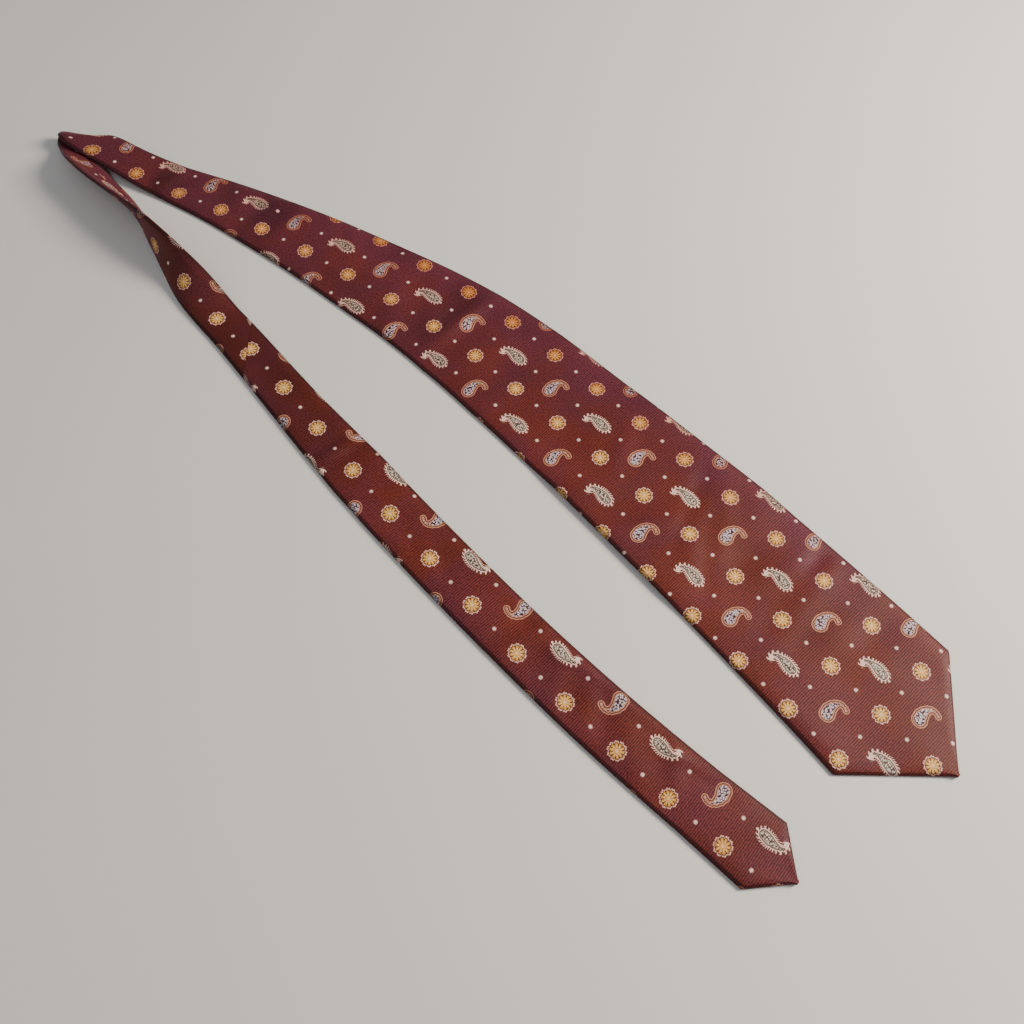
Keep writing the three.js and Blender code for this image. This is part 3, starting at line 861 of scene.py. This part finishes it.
    toothed_lit = add(
        tree,
        "ShaderNodeMix",
        {0: toothed_core, 6: toothed.outputs[0], 7: linear("#dcd0bd")},
        out=2,
        data_type="RGBA",
    )
    toothed_dark = add(tree, "ShaderNodeMath", {0: toothed_inside, 1: smooth_gap}, operation="MULTIPLY")
    toothed_part = add(tree, "ShaderNodeMath", {0: toothed_dark, 1: 0.9}, operation="MULTIPLY")
    toothed_broken = add(
        tree,
        "ShaderNodeMix",
        {0: toothed_part, 6: toothed_lit, 7: (*colours.ground_dark[:3], 1)},
        out=2,
        data_type="RGBA",
    )
    knob = outline_distance(tree, flat_place, [(-7.6, 2.3, 1.55), (-7.1, 3.5, 0.8)], 0.3)
    knob_cover = add(tree, "ShaderNodeMapRange", {0: knob, 1: 0.15, 2: -0.15, 3: 0.0, 4: 1.0})
    toothed_colour = add(
        tree,
        "ShaderNodeMix",
        {0: knob_cover, 6: toothed_broken, 7: colours.ivory[:]},
        out=2,
        data_type="RGBA",
    )
    stray = outline_distance(tree, flat_place, [(6.2, -6.8, 0.7)], 0.1)
    stray_cover = add(tree, "ShaderNodeMapRange", {0: stray, 1: 0.15, 2: -0.15, 3: 0.0, 4: 1.0})
    loose = add(tree, "ShaderNodeMath", {0: stray_cover, 1: tooth}, operation="MAXIMUM")
    toothed_cover = add(tree, "ShaderNodeMath", {0: toothed.outputs[1], 1: loose}, operation="MAXIMUM")
    toothed_full = add(
        tree, "ShaderNodeMix", {0: loose, 6: toothed_colour, 7: colours.ivory[:]}, out=2, data_type="RGBA"
    )

    # Small dots half way between the figures
    corner = add(tree, "ShaderNodeVectorMath", {0: flat_place}, operation="ABSOLUTE")
    dot_away = add(
        tree, "ShaderNodeVectorMath", {0: corner, 1: (repeat / 2, repeat / 2, 0)}, out=1, operation="DISTANCE"
    )
    dot = add(tree, "ShaderNodeMapRange", {0: dot_away, 1: 1.4, 2: 0.5, 3: 0.0, 4: 1.0})

    covers = []
    for cover, kind in (
        (rosette_cover, is_rosette),
        (smooth.outputs[1], is_smooth),
        (toothed_cover, is_toothed),
    ):
        covers.append(add(tree, "ShaderNodeMath", {0: cover, 1: kind}, operation="MULTIPLY"))

    # Ground: twill lines across the blade. A real silk twill has them every third of a millimetre; they are
    # drawn wide enough to show.
    skew = add(tree, "ShaderNodeMath", {0: a, 1: b}, operation="SUBTRACT")
    line_turns = 2 * math.pi * sizes.pattern_repeat / math.sqrt(2) / sizes.twill_pitch
    wander = add(tree, "ShaderNodeTexNoise", {"Vector": cloth_mm, "Scale": 0.35, "Detail": 2.0})
    line_phase = add(tree, "ShaderNodeMath", {0: wander, 1: 3.0}, operation="MULTIPLY")
    line_angle = add(
        tree, "ShaderNodeMath", {0: skew, 1: line_turns, 2: line_phase}, operation="MULTIPLY_ADD"
    )
    line = add(tree, "ShaderNodeMath", {0: line_angle}, operation="SINE")
    slub = add(tree, "ShaderNodeTexNoise", {"Vector": cloth_mm, "Scale": 0.9, "Detail": 4.0})
    line_light = add(tree, "ShaderNodeMapRange", {0: line, 1: -1.0, 2: 1.0, 3: 0.2, 4: 0.72})
    slub_light = add(tree, "ShaderNodeMapRange", {0: slub, 1: 0.3, 2: 0.7, 3: -0.34, 4: 0.36})
    ground_mix = add(tree, "ShaderNodeMath", {0: line_light, 1: slub_light}, operation="ADD", use_clamp=True)
    ground = add(
        tree,
        "ShaderNodeMix",
        {0: ground_mix, 6: colours.ground_dark[:], 7: colours.ground_light[:]},
        out=2,
        data_type="RGBA",
    )
    # Random clouds turn some places plum and others brown, and a plum sheen is painted on top along the tie
    # and at its far rim.
    nap_noise = add(
        tree,
        "ShaderNodeTexNoise",
        {"Vector": cloth_mm, "Scale": 0.028, "Detail": 3.0, "Distortion": 0.6},
    )
    nap_cloud = add(tree, "ShaderNodeMapRange", {0: nap_noise, 1: 0.4, 2: 0.64, 3: -0.1, 4: 0.5})
    painted_sheen_and_tone = add(tree, "ShaderNodeMath", {0: turned, 1: nap_cloud}, operation="ADD", use_clamp=True)
    ground_plum = add(
        tree,
        "ShaderNodeMix",
        {0: ground_mix, 6: linear("#33101b"), 7: colours.ground_plum[:]},
        out=2,
        data_type="RGBA",
    )
    ground = add(tree, "ShaderNodeMix", {0: painted_sheen_and_tone, 6: ground, 7: ground_plum}, out=2, data_type="RGBA")
    shade_noise = add(tree, "ShaderNodeTexNoise", {"Vector": cloth_mm, "Scale": 0.02, "Detail": 2.0})
    shade_cloud = add(tree, "ShaderNodeMapRange", {0: shade_noise, 1: 0.3, 2: 0.7, 3: 0.86, 4: 1.16})
    # crease_shade is painted shade, taken off the brightness along with the random shade cloud.
    crease = add(tree, "ShaderNodeAttribute", out=2, attribute_name="crease_shade")
    shade = add(tree, "ShaderNodeMath", {0: shade_cloud, 1: crease}, operation="SUBTRACT")
    colour = add(tree, "ShaderNodeVectorMath", {0: ground, "Scale": shade}, operation="SCALE")
    figures = [rosette_colour]
    # The smooth and toothed figures are painted coppery too where the plum sheen is painted.
    for figure in (smooth_colour, toothed_full):
        figures.append(
            add(
                tree,
                "ShaderNodeMix",
                {0: painted_sheen_copper, 6: figure, 7: linear("#d3a49b")},
                out=2,
                data_type="RGBA",
                blend_type="MULTIPLY",
            )
        )
    for cover, figure in zip(covers, figures):
        colour = add(tree, "ShaderNodeMix", {0: cover, 6: colour, 7: figure}, out=2, data_type="RGBA")
    colour = add(tree, "ShaderNodeMix", {0: dot, 6: colour, 7: linear("#eccabd")}, out=2, data_type="RGBA")
    yarn_light = add(tree, "ShaderNodeMapRange", {0: line, 1: -1.0, 2: 1.0, 3: 0.86, 4: 1.06})
    # Painted shade darkens the folded edges.
    fold = add(tree, "ShaderNodeAttribute", out=2, attribute_name="folded_edge_shade")
    painted_edge_shade = add(tree, "ShaderNodeMath", {0: fold, 1: -0.5, 2: 1.0}, operation="MULTIPLY_ADD")
    yarn_light = add(tree, "ShaderNodeMath", {0: yarn_light, 1: painted_edge_shade}, operation="MULTIPLY")
    colour = add(tree, "ShaderNodeVectorMath", {0: colour, "Scale": yarn_light}, operation="SCALE")

    raised = add(tree, "ShaderNodeMath", {0: covers[0], 1: covers[1]}, operation="ADD")
    raised = add(tree, "ShaderNodeMath", {0: raised, 1: covers[2]}, operation="ADD")
    raised = add(tree, "ShaderNodeMath", {0: raised, 1: dot}, operation="ADD")
    height = add(tree, "ShaderNodeMath", {0: line, 1: 0.22, 2: raised}, operation="MULTIPLY_ADD")
    fuzz = add(tree, "ShaderNodeMath", {0: slub, 1: 0.5, 2: height}, operation="MULTIPLY_ADD")
    bump = add(tree, "ShaderNodeBump", {"Strength": 0.55, "Distance": 0.00016, "Height": fuzz})
    surface = add(
        tree,
        "ShaderNodeBsdfPrincipled",
        {
            "Base Color": colour,
            "Roughness": 0.52,
            "Specular IOR Level": 0.17,
            "Sheen Weight": 0.2,
            "Sheen Roughness": 0.35,
            "Sheen Tint": linear("#b3738a"),
            "Normal": bump,
        },
    )
    add(tree, "ShaderNodeOutputMaterial", {0: surface})
    return material


def acetate_satin(colours):
    """Acetate satin lining, woven: smooth and glossier than the shell, with fine lengthwise floats."""
    material, tree = new_material("acetate_satin")
    uv = add(tree, "ShaderNodeUVMap", uv_map="cloth")
    # Real floats are about 0.4 mm apart; these are twice as wide, to show.
    waves = add(
        tree,
        "ShaderNodeTexWave",
        {"Vector": uv, "Scale": wave_scale(0.8), "Distortion": 1.2, "Detail": 1.0},
        bands_direction="Y",
        out=1,
    )
    cloud = add(tree, "ShaderNodeTexNoise", {"Vector": uv, "Scale": 60.0, "Detail": 4.0})
    mix = add(tree, "ShaderNodeMath", {0: waves, 1: 0.35, 2: cloud}, operation="MULTIPLY_ADD")
    dark = tuple(c * 0.7 for c in colours.lining[:3]) + (1.0,)
    colour = add(
        tree, "ShaderNodeValToRGB", {0: mix}, stops=[(0.3, dark), (0.85, tuple(colours.lining))]
    )
    bump = add(tree, "ShaderNodeBump", {"Strength": 0.3, "Distance": 0.0001, "Height": waves})
    surface = add(
        tree,
        "ShaderNodeBsdfPrincipled",
        {
            "Base Color": colour,
            "Roughness": 0.3,
            "Specular IOR Level": 0.5,
            "Sheen Weight": 0.1,
            "Normal": bump,
        },
    )
    add(tree, "ShaderNodeOutputMaterial", {0: surface})
    return material


def wool_canvas(colours):
    """Brushed wool canvas, plain woven: matt, hairy and a little uneven."""
    material, tree = new_material("wool_canvas")
    uv = add(tree, "ShaderNodeUVMap", uv_map="cloth")
    # Real yarns are about 1 mm apart; these are twice as wide, to show.
    yarns = {"Vector": uv, "Scale": wave_scale(2), "Distortion": 3.0}
    warp = add(tree, "ShaderNodeTexWave", yarns, out=1, bands_direction="X")
    weft = add(tree, "ShaderNodeTexWave", yarns, out=1, bands_direction="Y")
    weave = add(tree, "ShaderNodeMath", {0: warp, 1: weft}, operation="MULTIPLY")
    dark = tuple(c * 0.62 for c in colours.wool[:3]) + (1.0,)
    colour = add(tree, "ShaderNodeValToRGB", {0: weave}, stops=[(0.0, dark), (0.7, tuple(colours.wool))])
    bump = add(tree, "ShaderNodeBump", {"Strength": 0.6, "Distance": 0.0003, "Height": weave})
    surface = add(
        tree,
        "ShaderNodeBsdfPrincipled",
        {
            "Base Color": colour,
            "Roughness": 0.95,
            "Sheen Weight": 0.5,
            "Sheen Roughness": 0.6,
            "Normal": bump,
        },
    )
    add(tree, "ShaderNodeOutputMaterial", {0: surface})
    return material


def woven_label_satin(colours):
    """Woven polyester label satin: pale, smooth, with a fine crosswise rib and no marks on it."""
    material, tree = new_material("woven_label_satin")
    uv = add(tree, "ShaderNodeUVMap", uv_map="cloth")
    # Real ribs are about 0.5 mm apart; these are twice as wide, to show.
    rib = add(
        tree, "ShaderNodeTexWave", {"Vector": uv, "Scale": wave_scale(1), "Distortion": 0.6}, out=1
    )
    colour = add(
        tree,
        "ShaderNodeValToRGB",
        {0: rib},
        stops=[(0.0, tuple(c * 0.8 for c in colours.label[:3]) + (1.0,)), (0.6, tuple(colours.label))],
    )
    bump = add(tree, "ShaderNodeBump", {"Strength": 0.3, "Distance": 0.0001, "Height": rib})
    surface = add(
        tree,
        "ShaderNodeBsdfPrincipled",
        {"Base Color": colour, "Roughness": 0.42, "Sheen Weight": 0.15, "Normal": bump},
    )
    add(tree, "ShaderNodeOutputMaterial", {0: surface})
    return material


def silk_thread(colours):
    """Twisted silk sewing thread: two plies wound round each other, softly glossy."""
    material, tree = new_material("silk_thread")
    uv = add(tree, "ShaderNodeUVMap", uv_map="cloth")
    # Real plies wind round each other every millimetre; these take four, to show.
    ply = add(
        tree,
        "ShaderNodeTexWave",
        {"Vector": uv, "Scale": wave_scale(4, radians=10), "Distortion": 0.4},
        out=1,
        bands_direction="DIAGONAL",
    )
    dark = tuple(c * 0.55 for c in colours.thread[:3]) + (1.0,)
    colour = add(tree, "ShaderNodeValToRGB", {0: ply}, stops=[(0.0, dark), (0.5, tuple(colours.thread))])
    bump = add(tree, "ShaderNodeBump", {"Strength": 0.6, "Distance": 0.0001, "Height": ply})
    surface = add(
        tree,
        "ShaderNodeBsdfPrincipled",
        {"Base Color": colour, "Roughness": 0.5, "Sheen Weight": 0.2, "Normal": bump},
    )
    add(tree, "ShaderNodeOutputMaterial", {0: surface})
    return material


def painted_floor(colour):
    """A plain, matt painted floor with the faintest mottling."""
    material, tree = new_material("painted_floor")
    place = add(tree, "ShaderNodeTexCoord", out=3)
    mottle = add(tree, "ShaderNodeTexNoise", {"Vector": place, "Scale": 3.0, "Detail": 3.0})
    darker = tuple(c * 0.96 for c in colour[:3]) + (1.0,)
    tint = add(tree, "ShaderNodeValToRGB", {0: mottle}, stops=[(0.3, darker), (0.7, tuple(colour))])
    surface = add(tree, "ShaderNodeBsdfPrincipled", {"Base Color": tint, "Roughness": 0.8})
    add(tree, "ShaderNodeOutputMaterial", {0: surface})
    return material


def material_named(name, context):
    """The material of that name, made the first time it is asked for."""
    colours = context.scene.necktie_colours
    makers = {
        "silk_jacquard_twill": lambda: silk_jacquard_twill(context.scene.necktie_sizes, colours),
        "acetate_satin": lambda: acetate_satin(colours),
        "wool_canvas": lambda: wool_canvas(colours),
        "woven_label_satin": lambda: woven_label_satin(colours),
        "silk_thread": lambda: silk_thread(colours),
    }
    return bpy.data.materials.get(name) or makers[name]()


def key_places(tie):
    """Places along the tie where its pieces start and end."""
    front_start = BLUNT / tie.blade_width * FRONT_TIP_DEPTH
    tail_end = tie.whole - BLUNT / tie.tail_width * TAIL_TIP_DEPTH
    tack_half = TACK_GAP / 2 + GAP
    front_tack_end = tie.closing_place(tack_half, False)
    tail_tack_end = tie.closing_place(tack_half, True)
    return {
        "front_start": front_start,
        "tail_end": tail_end,
        "front_end": tie.pivot - 0.75 - 0.4 - GAP,
        "front_seam": (tie.pivot - 0.75 - 0.55, tie.pivot + 0.1),
        "neck_start": tie.pivot + 0.05,
        "front_tack": (front_tack_end - TACK_LENGTH, front_tack_end),
        "tail_tack": (tie.whole - tail_tack_end, tie.whole - tail_tack_end + TACK_LENGTH),
    }


class NECKTIE_OT_shells(bpy.types.Operator):
    """Adds the three lengths of shell silk: front blade, neck and tail"""

    bl_idname = "necktie.shells"
    bl_label = "Shell silk"

    def execute(self, context):
        tie = LaidTie(context.scene.necktie_sizes)
        at = key_places(tie)
        silk = material_named("silk_jacquard_twill", context)
        lengths = (
            ("front_blade_silk", "front_blade_shell", at["front_start"], at["front_end"], "front", "front"),
            ("neck_silk", "neck_shell", at["neck_start"], tie.seam - SEAM_HALF, "neck", "bend"),
            ("tail_silk", "tail_shell", tie.seam + SEAM_HALF, at["tail_end"], "tail", "tail"),
        )
        for name, node, start, end, kind, body in lengths:
            obj, area = shell(tie, name, start, end, kind, 1.25, kind == "front", kind == "tail")
            give(obj, silk, [node], body)
        return {"FINISHED"}


class NECKTIE_OT_seams(bpy.types.Operator):
    """Adds the two seams that join the lengths of silk"""

    bl_idname = "necktie.seams"
    bl_label = "Neck seams"

    def execute(self, context):
        tie = LaidTie(context.scene.necktie_sizes)
        at = key_places(tie)
        yarn = material_named("silk_thread", context)

        def sunk(s):
            t, n = shell_profile(tie, s)[:2]
            middle = tie.thick / 2
            return t * 0.985, middle + (n - middle) * 0.82

        ends = (
            ("front_seam_line", "front_neck_seam", *at["front_seam"], "front"),
            ("tail_seam_line", "tail_neck_seam", tie.seam - 0.6, tie.seam + 0.6, "tail"),
        )
        for name, node, start, end, body in ends:
            obj = strip(tie, name, start, end, 0.4, sunk)
            give(obj, yarn, [node], body)
        return {"FINISHED"}


class NECKTIE_OT_linings(bpy.types.Operator):
    """Adds the wool interlining and the satin tipping"""

    bl_idname = "necktie.linings"
    bl_label = "Linings"

    def execute(self, context):
        tie = LaidTie(context.scene.necktie_sizes)
        at = key_places(tie)
        wool = material_named("wool_canvas", context)
        satin = material_named("acetate_satin", context)
        low = tie.cloth + GAP
        room = tie.thick / 2

        def canvas(s):
            half = max(tie.width(s) / 2 - room, 0.4)
            t, n = ribbon(half, low, low + tie.interlining)
            lying = tie.relief(np.full_like(t, s), t, half + room) - tie.drop(t, half + room)
            room_above = tie.thick - tie.cloth - 0.15 + lying
            return t, np.minimum(n, np.maximum(room_above, low - 0.1 + (n - low) * 0.2))

        spans = (
            ("front_canvas", "front_interlining", at["front_start"] + 2 * room, at["front_end"], "front"),
            ("tail_canvas", "tail_interlining", at["neck_start"], at["tail_end"] - 2 * room, "bend"),
        )
        for name, node, start, end, body in spans:
            obj = strip(tie, name, start, end, 3, canvas)
            give(obj, wool, [node], body)

        def tipping(s):
            half = max(tie.opening(s) - GAP + 1.2, 0.6)
            return ribbon(half, 0.34, 0.62, corners=20, rounding=0.5)

        hem_front = 2 * HEM * FRONT_TIP_DEPTH / tie.blade_width + 1.3 * 2 * FRONT_TIP_DEPTH / tie.blade_width
        hem_tail = 2 * HEM * TAIL_TIP_DEPTH / tie.tail_width + 1.3 * 2 * TAIL_TIP_DEPTH / tie.tail_width
        spans = (
            ("front_tipping_satin", "front_tipping", hem_front, at["front_tack"][0] - GAP, "front"),
            ("tail_tipping_satin", "tail_tipping", at["tail_tack"][1] + GAP, tie.whole - hem_tail, "tail"),
        )
        for name, node, start, end, body in spans:
            obj = strip(tie, name, start, end, 1.5, tipping)
            give(obj, satin, [node], body)
        return {"FINISHED"}


class NECKTIE_OT_stitching(bpy.types.Operator):
    """Adds the bar tacks and the slip stitch down the back"""

    bl_idname = "necktie.stitching"
    bl_label = "Back stitching"

    def execute(self, context):
        tie = LaidTie(context.scene.necktie_sizes)
        at = key_places(tie)
        yarn = material_named("silk_thread", context)
        for name, node, (start, end), body in (
            ("front_tack_stitches", "front_bar_tack", at["front_tack"], "front"),
            ("tail_tack_stitches", "tail_bar_tack", at["tail_tack"], "tail"),
        ):

            def satin_bar(s, start=start):
                t, n = ribbon(2.3, -0.12, 0.5, corners=10, rounding=0.6)
                ridge = 0.1 * math.cos((s - start) * 2 * math.pi / TACK_PITCH)
                return t, np.where(n < 0.2, n - ridge, n)

            obj = strip(tie, name, start, end, 0.08, satin_bar)
            give(obj, yarn, [node], body)

        def thread(s):
            wobble = 0.25 * math.sin(s * 2 * math.pi / SLIP_PITCH)
            lift = 0.62 + 0.3 * math.cos(s * 2 * math.pi / SLIP_PITCH)
            return tube(wobble - tie.lap * 0.3, min(lift, 0.75), 0.2)

        for name, node, start, end, body in (
            ("front_back_stitch", "front_slip_stitch", at["front_tack"][1] + GAP, at["front_end"], "front"),
            ("tail_back_stitch", "tail_slip_stitch", at["neck_start"], at["tail_tack"][0] - GAP, "bend"),
        ):
            obj = strip(tie, name, start, end, 1.6, thread)
            give(obj, yarn, [node], body)
        return {"FINISHED"}


class NECKTIE_OT_keeper(bpy.types.Operator):
    """Adds the keeper loop on the back of the front blade, with its stitching"""

    bl_idname = "necktie.keeper"
    bl_label = "Keeper loop"

    def execute(self, context):
        tie = LaidTie(context.scene.necktie_sizes)
        silk = material_named("silk_jacquard_twill", context)
        yarn = material_named("silk_thread", context)
        half, foot, band, width = 25, 4, 0.5, 11
        start, end = KEEPER_AT - width / 2, KEEPER_AT + width / 2
        across = np.linspace(half, -half, 41)
        rise = np.clip((np.abs(across) - (half - foot - 1.5)) / 3.5, 0, 1)
        rise = rise * rise * (3 - 2 * rise)
        rings, coords = [], []
        for s in ring_places(start, end, 0.5):
            edge = min(s - start, end - s)
            swell = band * (0.55 + 0.45 * min(1, edge / 0.6) ** 0.5)
            low = -LABEL_LIFT + (band - swell) / 2 + rise * (LABEL_LIFT - GAP - band)
            t = np.concatenate([across, across[::-1]])
            n = np.concatenate([low, (low + swell)[::-1]])
            place = np.full_like(t, s)
            rings.append(tie.lay(place, t, n))
            coords.append(pattern_uv(tie, "front", place + 9, t))
        obj = loft_mesh("keeper_band", np.array(rings), np.array(coords))
        give(obj, silk, ["keeper_loop"], "front")
        for name, node, sign in (
            ("keeper_stitches_near", "keeper_stitch_near", 1),
            ("keeper_stitches_far", "keeper_stitch_far", -1),
        ):

            def zigzag(s, sign=sign):
                swing = abs((s / 1.8) % 1 * 2 - 1)
                return tube(sign * (half - 0.4 + 1.1 * swing), -0.42 - 0.1 * swing, 0.17)

            obj = strip(tie, name, start + 0.2, end - 0.2, 0.3, zigzag)
            give(obj, yarn, [node], "front")
        return {"FINISHED"}


class NECKTIE_OT_labels(bpy.types.Operator):
    """Adds the two blank labels on the back of the front blade"""

    bl_idname = "necktie.labels"
    bl_label = "Labels"

    def execute(self, context):
        tie = LaidTie(context.scene.necktie_sizes)
        satin = material_named("woven_label_satin", context)
        for name, node, middle, along, across in (
            ("maker_label_satin", "maker_label", 186, 24, 56),
            ("care_label_satin", "care_label", 250, 18, 12),
        ):

            def face(s, across=across):
                return ribbon(across / 2, -0.6, -0.28, corners=24, rounding=0.8)

            obj = strip(tie, name, middle - along / 2, middle + along / 2, 1, face)
            give(obj, satin, [node], "front")
        return {"FINISHED"}


class NECKTIE_OT_stage(bpy.types.Operator):
    """Adds the floor, the soft lights and the camera"""

    bl_idname = "necktie.stage"
    bl_label = "Stage"

    def execute(self, context):
        stage = context.scene.necktie_stage
        mesh = bpy.data.meshes.new("floor")
        reach = 20.0
        corners = [(-reach, -reach, 0), (reach, -reach, 0), (reach, reach, 0), (-reach, reach, 0)]
        mesh.from_pydata(corners, [], [(0, 1, 2, 3)])
        floor = bpy.data.objects.new("floor", mesh)
        floor.data.materials.append(painted_floor(stage.floor))
        context.scene.collection.objects.link(floor)
        lights = (
            ("key_light", (0.74, 0.86, 0.76), stage.key_power, 0.5, "#fff4e8"),
            ("fill_light", (-0.2, -0.9, 1.4), stage.fill_power, 1.4, "#eef3ff"),
        )
        for name, place, power, size, colour in lights:
            data = bpy.data.lights.new(name, "AREA")
            data.energy, data.size, data.color = power, size, linear(colour)[:3]
            lamp = bpy.data.objects.new(name, data)
            lamp.location = place
            z = np.array(place) / np.linalg.norm(place)
            x = np.cross((0, 0, 1), z)
            x /= np.linalg.norm(x)
            aim = Matrix((x, np.cross(z, x), z)).transposed()
            lamp.rotation_euler = aim.to_euler()
            context.scene.collection.objects.link(lamp)
        world = bpy.data.worlds.new("studio")
        world.use_nodes = True
        world.node_tree.nodes.clear()
        glow = add(world.node_tree, "ShaderNodeBackground", {"Color": linear("#f2f4f8"), "Strength": 0.36})
        add(world.node_tree, "ShaderNodeOutputWorld", {0: glow})
        context.scene.world = world
        data = bpy.data.cameras.new("camera")
        data.lens, data.sensor_width = stage.focal_length, 36
        data.clip_start = 0.01
        camera = bpy.data.objects.new("camera", data)
        turn = Matrix.Rotation(math.radians(35.736), 4, "Z")
        tilt = Matrix.Rotation(math.pi / 2 - 1.076362, 4, "X")
        roll = Matrix.Rotation(0.129561, 4, "Z")
        camera.matrix_world = Matrix.Translation((0.23449, -0.24094, 0.505511)) @ turn @ tilt @ roll
        context.scene.collection.objects.link(camera)
        context.scene.camera = camera
        return {"FINISHED"}


class NECKTIE_PT_panel(bpy.types.Panel):
    """Sizes, colours and buttons for the necktie"""

    bl_idname = "NECKTIE_PT_panel"
    bl_label = "Necktie"
    bl_space_type = "VIEW_3D"
    bl_region_type = "UI"
    bl_category = "Necktie"

    def draw(self, context):
        scene = context.scene
        for group in (scene.necktie_sizes, scene.necktie_colours, scene.necktie_stage):
            box = self.layout.box()
            for name in group.__annotations__:
                box.prop(group, name)
        for operator in OPERATORS:
            self.layout.operator(operator.bl_idname)


OPERATORS = (
    NECKTIE_OT_stage,
    NECKTIE_OT_shells,
    NECKTIE_OT_seams,
    NECKTIE_OT_linings,
    NECKTIE_OT_stitching,
    NECKTIE_OT_keeper,
    NECKTIE_OT_labels,
)
GROUPS = {
    "necktie_sizes": NecktieSizes,
    "necktie_colours": NecktieColours,
    "necktie_stage": NecktieStage,
}


def register():
    for group in GROUPS.values():
        bpy.utils.register_class(group)
    for operator in OPERATORS:
        bpy.utils.register_class(operator)
    bpy.utils.register_class(NECKTIE_PT_panel)
    for name, group in GROUPS.items():
        setattr(bpy.types.Scene, name, PointerProperty(type=group))


def unregister():
    for name in GROUPS:
        delattr(bpy.types.Scene, name)
    bpy.utils.unregister_class(NECKTIE_PT_panel)
    for operator in reversed(OPERATORS):
        bpy.utils.unregister_class(operator)
    for group in GROUPS.values():
        bpy.utils.unregister_class(group)


def main():
    """Builds the stage and the tie."""
    register()
    bpy.ops.necktie.stage()
    bpy.ops.necktie.shells()
    bpy.ops.necktie.seams()
    bpy.ops.necktie.linings()
    bpy.ops.necktie.stitching()
    bpy.ops.necktie.keeper()
    bpy.ops.necktie.labels()


if __name__ == "__main__":
    main()
